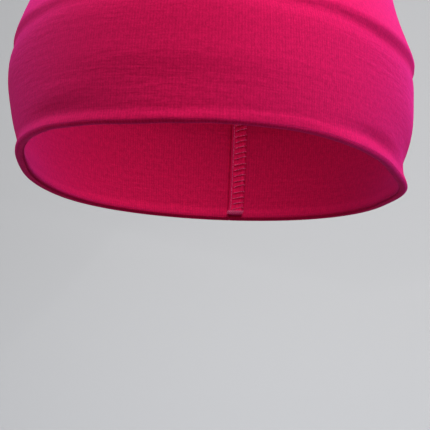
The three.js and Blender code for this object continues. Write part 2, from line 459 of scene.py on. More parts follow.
    def lay(self, angle: Array, height: Array, depth: Array) -> Array:
        """Points of the band at a depth from its outer face.

        Args:
            angle: Directions.
            height: Heights.
            depth: Depths.

        Returns:
            An array of points.
        """
        # The outward direction is taken across a small step each way along the face.
        turn, climb = 0.004, 0.5 * MM
        across = self.smooth_point(angle + turn, height)
        across = across - self.smooth_point(angle - turn, height)
        up = self.smooth_point(angle, height + climb)
        up = up - self.smooth_point(angle, height - climb)
        outwards = np.cross(across, up)
        outwards /= np.linalg.norm(outwards, axis=-1, keepdims=True)
        proud = (depth + self.relief(angle, height))[..., None]
        points = self.smooth_point(angle, height) + outwards * proud
        hanging = 1.0 - smooth(height / self.hem_sag_length)
        points[..., 2] -= self.hem_sag.at(angle) * MM * hanging
        return points

    def around_length(self, angle: Array) -> Array:
        """Length of cloth from the front to a direction, which places the wales.

        Args:
            angle: Directions.

        Returns:
            The length along the cloth in metres.
        """
        return angle * self.mean_radius


# ---------------------------------------------------------------- meshes


def new_piece(
    name: str, points: Array, faces: Sequence[Sequence[int]], uv: Array | None = None
) -> bpy.types.Object:
    """Makes a mesh object with smooth faces at the origin.

    Args:
        name: The object's name.
        points: Its corners, in metres in the frame.
        faces: The corners of each face, counter-clockwise from outside.
        uv: One place on the cloth for each corner, in metres, or None.

    Returns:
        The linked object.
    """
    mesh = bpy.data.meshes.new(name)
    mesh.from_pydata(np.asarray(points).tolist(), [], [list(face) for face in faces])
    mesh.update()
    if uv is not None:
        layer = mesh.uv_layers.new(name=CLOTH_UV)
        corners = np.empty(len(mesh.loops), np.int32)
        mesh.loops.foreach_get("vertex_index", corners)
        layer.data.foreach_set("uv", np.asarray(uv)[corners].ravel())
    mesh.polygons.foreach_set("use_smooth", [True] * len(mesh.polygons))
    piece = bpy.data.objects.new(name, mesh)
    bpy.context.scene.collection.objects.link(piece)
    return piece


def grid_faces(rows: int, columns: int, closed: bool) -> Array:
    """Faces of a tube or sheet whose corners run column by column.

    Args:
        rows: Corners in a column.
        columns: How many columns there are.
        closed: Whether each column is a loop.

    Returns:
        Four corner numbers for each face.
    """
    spans = rows if closed else rows - 1
    column, row = np.meshgrid(np.arange(columns - 1), np.arange(spans), indexing="ij")
    here = column * rows + row
    above = column * rows + (row + 1) % rows
    return np.stack([here, above, above + rows, here + rows], axis=-1).reshape(-1, 4)


def running_length(line: Array) -> Array:
    """Length along a line of corners up to each corner."""
    steps = np.linalg.norm(np.diff(line, axis=0), axis=1)
    return np.concatenate([[0.0], np.cumsum(steps)])


@dataclass(frozen=True)
class Sweep:
    """A closed section carried along a path of stations, with an end face at each end.

    Attributes:
        section: Depth and height, or any two measures, of each corner of the loop.
        stations: The third measure, along the path.
    """

    section: Array
    stations: Array

    def build(
        self,
        name: str,
        place: Callable[[Array, Array, Array], Array],
        uv: Callable[[Array, Array], Array] | None = None,
    ) -> bpy.types.Object:
        """Makes the swept piece.

        Args:
            name: The object's name.
            place: Takes stations and the section's two measures, and returns points.
            uv: Takes stations and corner numbers, and returns places on the cloth.

        Returns:
            The linked object, with its faces turned outwards.
        """
        rows, columns = len(self.section), len(self.stations)
        along = np.repeat(self.stations, rows)
        first = np.tile(self.section[:, 0], columns)
        second = np.tile(self.section[:, 1], columns)
        points = place(along, first, second)
        faces = grid_faces(rows, columns, closed=True)
        ends = [np.arange(rows), np.arange(rows) + (columns - 1) * rows]
        if self._inside_out(points, faces):
            faces = faces[:, ::-1]
            ends = [ends[0], ends[1][::-1]]
        else:
            ends = [ends[0][::-1], ends[1]]
        places = None if uv is None else uv(along, np.tile(np.arange(rows), columns))
        return new_piece(name, points, [*faces.tolist(), *ends], places)

    @staticmethod
    def _inside_out(points: Array, faces: Array) -> bool:
        """Whether a swept wall's faces point inwards.

        Args:
            points: The corners.
            faces: The quads of the wall.

        Returns:
            True when the volume under them is negative.
        """
        centre = points.mean(axis=0)
        a, b, c, d = [points[faces[:, i]] - centre for i in range(4)]
        volume = np.einsum("ij,ij->i", a, np.cross(b, c) + np.cross(c, d)).sum()
        return bool(volume < 0.0)


def add_node(
    tree: bpy.types.NodeTree,
    kind: str,
    settings: dict[str, Any] | None = None,
    **inputs: Any,
) -> bpy.types.Node:
    """Adds a node with its settings, values and links.

    Args:
        tree: The tree to add to.
        kind: The node's type name.
        settings: Properties of the node itself.
        **inputs: Socket names, with _ for a space, or i0, i1 and so on for a socket by number.
            A value is set, and an output socket is linked.

    Returns:
        The node.
    """
    node = tree.nodes.new(kind)
    for key, value in (settings or {}).items():
        setattr(node, key, value)
    for key, value in inputs.items():
        by_number = key[0] == "i" and key[1:].isdigit()
        socket = node.inputs[int(key[1:]) if by_number else key.replace("_", " ")]
        if isinstance(value, bpy.types.NodeSocket):
            tree.links.new(value, socket)
        else:
            socket.default_value = value
    return node


# ---------------------------------------------------------------- finishes


def linear(colour: str) -> tuple[float, float, float, float]:
    """Turns an sRGB hex colour into the linear one that shaders take.

    Args:
        colour: Such as "#c8185c".

    Returns:
        Red, green, blue and an alpha of 1.
    """
    values = [int(colour[i : i + 2], 16) / 255.0 for i in (1, 3, 5)]
    red, green, blue = [
        v / 12.92 if v <= 0.04045 else ((v + 0.055) / 1.055) ** 2.4 for v in values
    ]
    return (red, green, blue, 1.0)


def start_material(name: str) -> tuple[bpy.types.Material, bpy.types.NodeTree]:
    """Starts a material with an empty node tree.

    Args:
        name: The material's name.

    Returns:
        The material and its tree.
    """
    material = bpy.data.materials.new(name)
    material.use_nodes = True
    material.node_tree.nodes.clear()
    return material, material.node_tree


def calculate(
    tree: bpy.types.NodeTree, operation: str, *values: Any, clamp: bool = False
) -> bpy.types.NodeSocket:
    """Adds a math node.

    Args:
        tree: The tree to add to.
        operation: What it does with the values.
        *values: Numbers and output sockets.
        clamp: Whether the result is kept from 0 to 1.

    Returns:
        Its output.
    """
    settings = {"operation": operation, "use_clamp": clamp}
    inputs = {f"i{number}": value for number, value in enumerate(values)}
    return add_node(tree, "ShaderNodeMath", settings, **inputs).outputs[0]


def cloth_noise(
    tree: bpy.types.NodeTree,
    place: bpy.types.NodeSocket,
    spot: tuple[float, float],
    detail: float = 1.0,
    roughness: float = 0.5,
) -> bpy.types.NodeSocket:
    """Adds uneven patches that are longer one way along the cloth than the other.

    Args:
        tree: The tree to add to.
        place: The place on the cloth in metres.
        spot: Length and height of a patch in metres.
        detail: How many finer layers it has.
        roughness: How strong each finer layer is.

    Returns:
        A value from 0 to 1.
    """
    scaled = add_node(
        tree, "ShaderNodeVectorMath", {"operation": "DIVIDE"}, i0=place, i1=(*spot, 1.0)
    )
    noise = add_node(
        tree, "ShaderNodeTexNoise", {"noise_dimensions": "2D"},
        Vector=scaled.outputs[0], Scale=1.0, Detail=detail, Roughness=roughness,
    )
    return noise.outputs["Fac"]


def soft_step(
    tree: bpy.types.NodeTree,
    value: bpy.types.NodeSocket,
    start: float,
    stop: float,
    low: float,
) -> bpy.types.NodeSocket:
    """Adds a node that eases from a low value to 1.

    Args:
        tree: The tree to add to.
        value: What it follows.
        start: Where the result is low.
        stop: Where it is 1.
        low: The low value.

    Returns:
        Its output.
    """
    node = add_node(
        tree, "ShaderNodeMapRange", {"interpolation_type": "SMOOTHSTEP"},
        Value=value, From_Min=start, From_Max=stop, To_Min=low, To_Max=1.0,
    )
    return node.outputs[0]


def blend_colours(
    tree: bpy.types.NodeTree, share: bpy.types.NodeSocket, first: str, second: str
) -> bpy.types.NodeSocket:
    """Adds a mix of two colours.

    Args:
        tree: The tree to add to.
        share: How much of the second there is.
        first: A colour such as "#c8185c".
        second: Another.

    Returns:
        The mixed colour.
    """
    node = add_node(
        tree, "ShaderNodeMix", {"data_type": "RGBA"},
        Factor=share, i6=linear(first), i7=linear(second),
    )
    return node.outputs[2]


@dataclass(frozen=True)
class JerseyFinish:
    """Cotton and elastane single jersey, face side out: ribs of stitches run up the band.

    Attributes:
        name: The material's name.
        deep: Colour in the grooves between the wales, darker by painted shade.
        face: Colour of the wales.
        wale: Spacing of the wales round the band in metres, as worn.
        course: Height of a row of stitches in metres.
        relief: Height of a wale in metres.
        ripple: Height of the slack ripples along the courses in metres.
        sheen: Strength of the pale bloom that loose fibres give at a slant.
        sheen_tint: Its colour.
    """

    name: str
    deep: str
    face: str
    wale: float = 1.05 * MM
    course: float = 0.85 * MM
    relief: float = 0.03 * MM
    ripple: float = 0.23 * MM
    sheen: float = 0.3
    sheen_tint: str = "#ff50e0"

    def make(self) -> bpy.types.Material:
        """Builds the material.

        Returns:
            The material, which reads the piece's cloth UV map in metres.
        """
        material, tree = start_material(self.name)
        place = add_node(tree, "ShaderNodeUVMap", {"uv_map": CLOTH_UV}).outputs[0]
        # The ribs give both the bump and the colour mix; in the colour, their grooves carry
        # painted shade.
        shaded_ribs_and_yarn = self._shaded_ribs_and_yarn(tree, place, self._knit(tree, place))
        rippled = add_node(
            tree, "ShaderNodeBump", Strength=1.0, Distance=self.ripple,
            Height=self._ripples(tree, place),
        )
        surface = add_node(
            tree, "ShaderNodeBump", Strength=1.0, Distance=self.relief,
            Height=shaded_ribs_and_yarn, Normal=rippled.outputs[0],
        )
        # Cotton is matt: almost no gloss, and a bloom that warms the far sides.
        shader = add_node(
            tree, "ShaderNodeBsdfPrincipled",
            Base_Color=blend_colours(tree, shaded_ribs_and_yarn, self.deep, self.face),
            Roughness=0.82, Normal=surface.outputs[0], Sheen_Weight=self.sheen,
            Sheen_Roughness=0.5, IOR=1.3, Sheen_Tint=linear(self.sheen_tint),
            Specular_IOR_Level=0.08,
        )
        add_node(tree, "ShaderNodeOutputMaterial", Surface=shader.outputs[0])
        return material

    def _knit(
        self, tree: bpy.types.NodeTree, place: bpy.types.NodeSocket
    ) -> bpy.types.NodeSocket:
        """Makes the ribs of stitches, which give the eye fine upright lines.

        Args:
            tree: The material's tree.
            place: The place on the cloth in metres.

        Returns:
            1 on the crown of a stitch and 0 in the groove between wales.
        """
        split = add_node(tree, "ShaderNodeSeparateXYZ", i0=place).outputs
        saw = calculate(tree, "FRACT", calculate(tree, "DIVIDE", split[0], self.wale))
        side = calculate(tree, "ABSOLUTE", calculate(tree, "SUBTRACT", saw, 0.5))
        rib = soft_step(tree, side, 0.5, 0.08, 0.0)
        # The legs of each stitch lean to the wale's middle, which makes the small V marks.
        courses = calculate(tree, "DIVIDE", split[1], self.course)
        leaned = calculate(tree, "MULTIPLY_ADD", side, -1.1, courses)
        arch = calculate(tree, "PINGPONG", calculate(tree, "FRACT", leaned), 0.5)
        return calculate(tree, "MULTIPLY", rib, soft_step(tree, arch, 0.0, 0.3, 0.72))

    def _shaded_ribs_and_yarn(
        self,
        tree: bpy.types.NodeTree,
        place: bpy.types.NodeSocket,
        knit: bpy.types.NodeSocket,
    ) -> bpy.types.NodeSocket:
        """Paints shade into the grooves between the wales, and makes the yarn's own colour
        uneven.

        Args:
            tree: The material's tree.
            place: The place on the cloth in metres.
            knit: The ribs of stitches.

        Returns:
            0 for the deep colour, the painted shade of a groove, and 1 for the face colour.
        """
        spot = (self.wale * 1.3, self.course * 2.6)
        yarn = cloth_noise(tree, place, spot, detail=2.0, roughness=0.6)
        # Loose fibres blur the ribs.
        fibre = cloth_noise(tree, place, (0.42 * MM, 0.75 * MM))
        uneven = calculate(tree, "MULTIPLY_ADD", yarn, 0.9, -0.6)
        fuzz = calculate(tree, "MULTIPLY_ADD", fibre, 0.8, uneven)
        # The ribs' grooves pull the colour towards the deep one: painted shade. The noise is the
        # yarn's own uneven colour.
        return calculate(tree, "MULTIPLY_ADD", knit, 0.27, fuzz, clamp=True)

    def _ripples(
        self, tree: bpy.types.NodeTree, place: bpy.types.NodeSocket
    ) -> bpy.types.NodeSocket:
        """Makes the slight ripples of worn jersey along its courses, here more, there less.

        Args:
            tree: The material's tree.
            place: The place on the cloth in metres.

        Returns:
            The height of the ripples from 0 to 1.
        """
        ripples = cloth_noise(tree, place, (11.0 * MM, 1.8 * MM), detail=2.0, roughness=0.55)
        patches = cloth_noise(tree, place, (46.0 * MM, 21.0 * MM), detail=0.0)
        return calculate(tree, "MULTIPLY", ripples, patches)


@dataclass(frozen=True)
class ThreadFinish:
    """Spun polyester sewing thread: round strands with the slanted ply of a twist.

    Attributes:
        name: The material's name.
        dark: Colour between the plies, darker by painted shade.
        light: Colour on the plies: the thread's pink with a painted highlight.
        ply: Length of the twist in metres.
        relief: Height of a ply in metres.
    """

    name: str
    dark: str
    light: str
    ply: float = 0.45 * MM
    relief: float = 0.05 * MM

    def make(self) -> bpy.types.Material:
        """Builds the material.

        Returns:
            The material, which reads Object coordinates.
        """
        material, tree = start_material(self.name)
        place = add_node(tree, "ShaderNodeTexCoord")
        # Slanted bands give each strand its twist; in the colour they paint shade between the
        # plies and a highlight on them, which sets it off the cloth.
        twist = add_node(
            tree, "ShaderNodeTexWave", {"wave_type": "BANDS", "bands_direction": "DIAGONAL"},
            Vector=place.outputs["Object"], Scale=0.3 / self.ply, Distortion=1.5,
            Detail=1.0,
        )
        surface = add_node(
            tree, "ShaderNodeBump", Strength=0.6, Distance=self.relief,
            Height=twist.outputs["Fac"],
        )
        shader = add_node(
            tree, "ShaderNodeBsdfPrincipled",
            Base_Color=blend_colours(tree, twist.outputs["Fac"], self.dark, self.light),
            Roughness=0.5, Normal=surface.outputs[0], Sheen_Weight=0.2, IOR=1.5,
            Specular_IOR_Level=0.45,
        )
        add_node(tree, "ShaderNodeOutputMaterial", Surface=shader.outputs[0])
        return material


@dataclass(frozen=True)
class SatinFinish:
    """Woven satin label tape: long floats run along it, so it shines in one direction.

    Attributes:
        name: The material's name.
        face: Colour of the floats.
        shade: Colour between them.
        pick: Spacing of the threads in metres.
        float_length: Length of a float in threads.
        relief: Height of a float in metres.
    """

    name: str
    face: str
    shade: str
    pick: float = 0.3 * MM
    float_length: float = 6.0
    relief: float = 0.04 * MM

    def make(self) -> bpy.types.Material:
        """Builds the material.

        Returns:
            The material, which reads the piece's cloth UV map in metres.
        """
        material, tree = start_material(self.name)
        place = add_node(tree, "ShaderNodeUVMap", {"uv_map": CLOTH_UV}).outputs[0]
        weave = cloth_noise(tree, place, (self.pick * self.float_length, self.pick))
        surface = add_node(
            tree, "ShaderNodeBump", Strength=0.5, Distance=self.relief, Height=weave
        )
        # The long floats give the tape its streaked shine.
        shader = add_node(
            tree, "ShaderNodeBsdfPrincipled",
            Base_Color=blend_colours(tree, weave, self.shade, self.face),
            Roughness=0.38, Normal=surface.outputs[0], Anisotropic=0.5, IOR=1.5,
            Specular_IOR_Level=0.5,
        )
        add_node(tree, "ShaderNodeOutputMaterial", Surface=shader.outputs[0])
        return material


@dataclass(frozen=True)
class StudioFinish:
    """Matt paper of the studio's floor and backdrop.

    Attributes:
        name: The material's name.
        colour: Its colour.
    """

    name: str
    colour: str

    def make(self) -> bpy.types.Material:
        """Builds the material.

        Returns:
            The material.
        """
        material, tree = start_material(self.name)
        shader = add_node(
            tree, "ShaderNodeBsdfPrincipled",
            Base_Color=linear(self.colour), Roughness=0.9, Specular_IOR_Level=0.2,
        )
        add_node(tree, "ShaderNodeOutputMaterial", Surface=shader.outputs[0])
        return material


def dress(
    piece: bpy.types.Object, material: bpy.types.Material, slot: str, *nodes: str
) -> bpy.types.Object:
    """Gives a piece its material and its place in the frame.

    Args:
        piece: The finished piece.
        material: Its material.
        slot: The record's material slot; not used.
        *nodes: The CAD nodes that it stands for.

    Returns:
        The piece.
    """
    if not piece.data.materials:
        piece.data.materials.append(material)
    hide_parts(*nodes)
    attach(piece, BODY)
    log.info("%s: %d faces, for %s", piece.name, len(piece.data.polygons), ", ".join(nodes))
    return piece


# ---------------------------------------------------------------- the two layers


class Side(Enum):
    """Which of the two layers a panel is."""

    OUTER = 1
    LINING = -1


@dataclass(frozen=True)
class EdgeRoll:
    """The padded edge of the band, drawn about the plane between the layers.

    Attributes:
        crest: Distance from the edge to the fullest part of the roll.
        fullness: Half the band's thickness there.
        bare: Half its thickness away from the edge.
        blend: Length over which the one thins to the other.
        seam: Degrees round the roll from the outside to the line where the layers meet.
    """

    crest: float = 1.3 * MM
    fullness: float = 1.9 * MM
    bare: float = 0.95 * MM
    blend: float = 4.3 * MM
    seam: float = 125.0

    def half_thickness(self, from_edge: Array) -> Array:
        """Half the band's thickness.

        Args:
            from_edge: Distances from the nearer edge, past the crest.

        Returns:
            The half thickness at each.
        """
        thinned = smooth((from_edge - self.crest) / self.blend)
        return self.fullness + (self.bare - self.fullness) * thinned

    def roundness(self, from_edge: Array) -> Array:
        """Share of the full thickness within the crest: 0 at the edge, 1 from the crest on."""
        beyond = np.maximum(self.crest - from_edge, 0.0) / self.crest
        return np.sqrt(1.0 - np.square(beyond))

    def corner(self, inset: float, start: float, stop: float, count: int) -> Array:
        """Part of the round edge as offsets from the middle plane and distances from the edge.

        Args:
            inset: How far inside the outer face the line runs.
            start: Where it starts, in degrees round from the outside.
            stop: Where it stops.
            count: How many corners it has.

        Returns:
            Offsets and distances, a row for each corner.
        """
        turn = np.radians(np.linspace(start, stop, count))
        offset = (self.fullness - inset) * np.cos(turn)
        distance = self.crest - (self.crest - inset) * np.sin(turn)
        return np.stack([offset, distance], axis=-1)


@dataclass
class JerseyPanel:
    """One layer of the band, from seam to seam at the nape and curled round both edges.

    Attributes:
        form: The band's worn form.
        side: Which layer it is.
        roll: The padded edge.
        columns: Spans round the head.
        face_rows: Spans up the face that shows.
        hidden_rows: Spans up the face that lies against the other layer.
        corner_rows: Spans round each edge.
        crowding: How much closer than even the rows stand at the edges, from 0 to 1.
        seam_gap: Space between the layers at the edge seam.
        flat: Width and length of the cut cloth, lying slack; not used.
    """

    form: BandForm
    side: Side
    roll: EdgeRoll = EdgeRoll()
    columns: int = 600
    face_rows: int = 104
    hidden_rows: int = 24
    corner_rows: int = 9
    crowding: float = 0.55
    seam_gap: float = 0.3 * MM
    flat: tuple[float, float] = (98.0 * MM, 420.0 * MM)

    def _face(self, inset: float, rows: int) -> Array:
        """The straight part of a face, from the lower roll's crest to the upper one's.

        Args:
            inset: How far inside the outer face it runs.
            rows: Spans up it.

        Returns:
            Offsets from the middle plane and heights.
        """
        # Rows stand closer together near the edges, where the face bends most.
        share = np.linspace(0.0, 1.0, rows + 1)[1:-1]
        share = share - self.crowding * np.sin(2.0 * math.pi * share) / (2.0 * math.pi)
        height = self.roll.crest + share * (self.form.height - 2.0 * self.roll.crest)
        half = self.roll.half_thickness(self.form.from_edge(height))
        return np.stack([half - inset, height], axis=-1)

    def section(self) -> Array:
        """The layer's closed section.

        Returns:
            Depths and heights, a row for each corner.
        """
        cloth, top = self.form.cloth, self.form.height
        gap = math.degrees(self.seam_gap / self.roll.fullness)
        reach = self.roll.seam if self.side is Side.OUTER else 180.0 - self.roll.seam - gap
        count = self.corner_rows + 1
        out = self.roll.corner(0.0, 0.0, reach, count)
        back = self.roll.corner(cloth, reach, 0.0, count)
        flip = np.array([1.0, -1.0])
        lift = np.array([0.0, top])
        outline = np.concatenate([
            self._face(0.0, self.face_rows),
            out * flip + lift,
            back * flip + lift,
            self._face(cloth, self.hidden_rows)[::-1],
            back[::-1],
            out[::-1],
        ])
        outline[:, 0] = self.form.middle + self.side.value * outline[:, 0]
        return outline

    def build(self, name: str) -> bpy.types.Object:
        """Makes the layer.

        Args:
            name: The object's name.

        Returns:
            The linked object.
        """
        form, section = self.form, self.section()
        edge = form.nape_angle
        stations = np.linspace(edge, -edge, self.columns + 1)
        girth = running_length(section)

        def place(angle: Array, depth: Array, height: Array) -> Array:
            """Lays the section's corners on the worn form."""
            return form.lay(angle, height, depth)

        def on_cloth(angle: Array, corner: Array) -> Array:
            """Lengths of cloth round the band and up it."""
            return np.stack([form.around_length(angle), girth[corner]], axis=-1)

        return Sweep(section, stations).build(name, place, on_cloth)


# ---------------------------------------------------------------- stitches


@dataclass(frozen=True)
class Strand:
    """A short piece of thread along a line, with a round end at each end.

    Attributes:
        line: The points that it follows, in metres.
        radius: Its radius.
        sides: Its sides.
    """

    line: Array
    radius: float
    sides: int = 5

    def build(self, name: str) -> bpy.types.Object:
        """Makes the strand.

        Args:
            name: The object's name.

        Returns:
            The linked object.
        """
        line = np.asarray(self.line, float)
        ahead = np.gradient(line, axis=0)
        ahead /= np.linalg.norm(ahead, axis=1, keepdims=True)
        rings, side = [], self._first_side(ahead[0])
        for point, forward in zip(line, ahead):
            side = side - forward * np.dot(side, forward)
            side /= np.linalg.norm(side)
            third = np.cross(forward, side)
            turn = np.arange(self.sides) / self.sides * 2.0 * math.pi
            ring = np.cos(turn)[:, None] * side + np.sin(turn)[:, None] * third
            rings.append(point + ring * self.radius)
        faces = grid_faces(self.sides, len(line), closed=True)[:, ::-1].tolist()
        last = (len(line) - 1) * self.sides
        ends = [list(range(self.sides))[::-1], [last + i for i in range(self.sides)]]
        return new_piece(name, np.concatenate(rings), faces + ends)

    @staticmethod
    def _first_side(forward: Array) -> Array:
        """A direction square to the first step.

        Args:
            forward: The first step's direction.

        Returns:
            A unit vector.
        """
        upright = abs(forward[2]) >= 0.9
        side = np.cross(forward, (1.0, 0.0, 0.0) if upright else (0.0, 0.0, 1.0))
        return side / np.linalg.norm(side)


def stitch_tree() -> bpy.types.NodeTree:
    """The Geometry Nodes tree that sews a straight row of one stitch.

    Returns:
        The tree. Its inputs are the stitch, their count and pitch, how far each one strays
        and turns, the seed, and the thread's material.
    """
    tree = bpy.data.node_groups.new("stitch_row", "GeometryNodeTree")
    sockets = [
        ("Stitch", "NodeSocketObject", None),
        ("Count", "NodeSocketInt", 10),
        ("Pitch", "NodeSocketFloat", 3.0 * MM),
        ("Stray", "NodeSocketFloat", 0.0),
        ("Turn", "NodeSocketFloat", 0.0),
        ("Seed", "NodeSocketInt", 0),
        ("Thread", "NodeSocketMaterial", None),
    ]
    for name, kind, value in sockets:
        socket = tree.interface.new_socket(name, in_out="INPUT", socket_type=kind)
        if value is not None:
            socket.default_value = value
    tree.interface.new_socket("Row", in_out="OUTPUT", socket_type="NodeSocketGeometry")
    given = add_node(tree, "NodeGroupInput").outputs
    step = add_node(tree, "ShaderNodeCombineXYZ", Y=given["Pitch"])
    row = add_node(
        tree, "GeometryNodeMeshLine", {"mode": "OFFSET"},
        Count=given["Count"], Offset=step.outputs[0],
    )
    shift, swing = [
        add_node(
            tree, "FunctionNodeRandomValue", {"data_type": "FLOAT"},
            i2=calculate(tree, "MULTIPLY", most, -1.0), i3=most, Seed=given["Seed"],
        ).outputs[1]
        for most in (given["Stray"], given["Turn"])
    ]
    aside = add_node(tree, "ShaderNodeCombineXYZ", X=shift)
    moved = add_node(
        tree, "GeometryNodeSetPosition", Geometry=row.outputs[0], Offset=aside.outputs[0]
    )
    turn = add_node(tree, "ShaderNodeCombineXYZ", Z=swing)
    stitch = add_node(tree, "GeometryNodeObjectInfo", Object=given["Stitch"])
    sewn = add_node(
        tree, "GeometryNodeInstanceOnPoints", Points=moved.outputs[0],
        Instance=stitch.outputs["Geometry"], Rotation=turn.outputs[0],
    )
    real = add_node(tree, "GeometryNodeRealizeInstances", Geometry=sewn.outputs[0])
    dyed = add_node(
        tree, "GeometryNodeSetMaterial", Geometry=real.outputs[0], Material=given["Thread"]
    )
    add_node(tree, "NodeGroupOutput", Row=dyed.outputs[0])
    return tree


@dataclass(frozen=True)
class SewingKit:
    """What every row of stitches is sewn with.

    Attributes:
        tree: The tree of stitch_tree.
        thread: The thread's material.
    """

    tree: bpy.types.NodeTree
    thread: bpy.types.Material


@dataclass
class StitchRow:
    """A row of one stitch, sewn flat and then laid on the band.

    Attributes:
        line: The points of one stitch, across, along and up from the cloth.
        pitch: Distance between stitches.
        count: How many there are.
        radius: The thread's radius.
        stray: How far a stitch may stand out of line.
        turn: How far it may be turned, in radians.
        seed: Fixes which ones do.
    """

    line: Sequence[tuple[float, float, float]]
    pitch: float
    count: int
    radius: float = 0.16 * MM
    stray: float = 0.06 * MM
    turn: float = 0.05
    seed: int = 1

    def build(
        self, name: str, kit: SewingKit, place: Callable[[Array], Array]
    ) -> bpy.types.Object:
        """Sews the row and lays it in place.

        Args:
            name: The object's name.
            kit: What it is sewn with.
            place: Takes the flat row's points and returns them laid on the band.

        Returns:
            The linked object, a plain mesh.
        """
        stitch = Strand(np.array(self.line), self.radius).build(name + "_stitch")
        carrier = new_piece(name + "_carrier", np.zeros((1, 3)), [])
        modifier = carrier.modifiers.new("row", "NODES")
        modifier.node_group = kit.tree
        values = {
            "Stitch": stitch,
            "Count": self.count,
            "Pitch": self.pitch,
            "Stray": self.stray,
            "Turn": self.turn,
            "Seed": self.seed,
            "Thread": kit.thread,
        }
        for item in kit.tree.interface.items_tree:
            if item.in_out == "INPUT":
                modifier[item.identifier] = values[item.name]
        graph = bpy.context.evaluated_depsgraph_get()
        mesh = bpy.data.meshes.new_from_object(carrier.evaluated_get(graph))
        mesh.name = name
        flat = np.empty(len(mesh.vertices) * 3, np.float32)
        mesh.vertices.foreach_get("co", flat)
        laid = place(flat.reshape(-1, 3).astype(float))
        mesh.vertices.foreach_set("co", laid.astype(np.float32).ravel())
        mesh.polygons.foreach_set("use_smooth", [True] * len(mesh.polygons))
        mesh.update()
        bpy.data.objects.remove(carrier)
        bpy.data.objects.remove(stitch)
        row = bpy.data.objects.new(name, mesh)
        bpy.context.scene.collection.objects.link(row)
        return row


# ---------------------------------------------------------------- the padded edges


class Edge(Enum):
    """Which edge of the band a seam runs along."""

    LOWER = "lower"
    UPPER = "upper"


@dataclass
class EdgeSeam:
    """The turned-in allowances inside one padded edge, bound by their overlock thread.

    Attributes:
        form: The band's worn form.
        edge: Which edge it is.
        foot: Distance from the band's edge to the allowances.
        width: How far they reach from there.
        radius: Half their thickness.
        columns: Spans round the head.
        corners: Corners round the bundle.
        stitch: Pitch of the overlocking.
        thread: The overlocking thread's radius.
        skin: How far over the bundle that thread's middle runs.
        first: How far from the nape the first loop starts.
    """

    form: BandForm
    edge: Edge
    foot: float = 1.1 * MM
    width: float = 2.7 * MM
    radius: float = 0.42 * MM
    columns: int = 240
    corners: int = 20
    stitch: float = 3.0 * MM
    thread: float = 0.1 * MM
    skin: float = 0.14 * MM
    first: float = 0.5 * MM

    def _height(self, from_edge: Array) -> Array:
        """Height up the cloth of a distance from this edge.

        Args:
            from_edge: Distances from the edge.

        Returns:
            Heights.
        """
        return from_edge if self.edge is Edge.LOWER else self.form.height - from_edge

    def build_allowance(self) -> bpy.types.Object:
        """Makes the bundle of turned-in cloth: four plies that show as ridges along its sides.

        Returns:
            The linked object.
        """
        turn = np.linspace(0.0, 2.0 * math.pi, self.corners, endpoint=False)
        straight = self.width / 2.0 - self.radius
        across = self.radius * np.cos(turn) * (1.0 - 0.1 * np.square(np.sin(3.0 * turn)))
        up = self.radius * np.sin(turn) + np.sign(np.sin(turn)) * straight
        up += self.foot + self.width / 2.0
        section = np.stack([self.form.middle + across, self._height(up)], axis=-1)
        edge = self.form.nape_angle
        stations = np.linspace(edge, -edge, self.columns + 1)
        girth = np.arange(self.corners) / self.corners * 2.0 * (self.width + self.radius)
        return Sweep(section, stations).build(
            f"{self.edge.value}_seam_allowance_cloth",
            lambda angle, depth, height: self.form.lay(angle, height, depth),
            lambda angle, corner: np.stack(
                [self.form.around_length(angle), girth[corner]], axis=-1
            ),
        )

    def build_thread(self, kit: SewingKit) -> bpy.types.Object:
        """Makes the overlocking: loops from the needle line round the cut edge and back.

        Args:
            kit: What it is sewn with.

        Returns:
            The linked object.
        """
        skin = self.radius + self.skin
        near, far = 0.4 * MM, self.width + 0.2 * MM
        half = self.stitch / 2.0
        loop = [
            (near, 0.0, skin),
            ((near + far) / 2.0, half * 0.5, skin),
            (far - 0.3 * MM, half * 0.9, skin * 0.8),
            (far, half, 0.0),
            (far - 0.3 * MM, half * 1.1, -skin * 0.8),
            ((near + far) / 2.0, half * 1.5, -skin),
            (near, self.stitch * 0.97, -skin),
        ]
        edge = self.form.nape_angle
        radius = self.form.mean_radius
        count = int(2.0 * edge * radius / self.stitch)

        def place(flat: Array) -> Array:
            """Wraps the flat row round the bundle of allowances.

            Args:
                flat: The row's points, across, along and up.

            Returns:
                The points on the band.
            """
            angle = edge - (flat[:, 1] + self.first) / radius
            height = self._height(self.foot + flat[:, 0])
            return self.form.lay(angle, height, self.form.middle + flat[:, 2])

        row = StitchRow(loop, self.stitch, count, radius=self.thread, seed=3)
        return row.build(f"{self.edge.value}_overlock_stitches", kit, place)


# ---------------------------------------------------------------- the nape seam


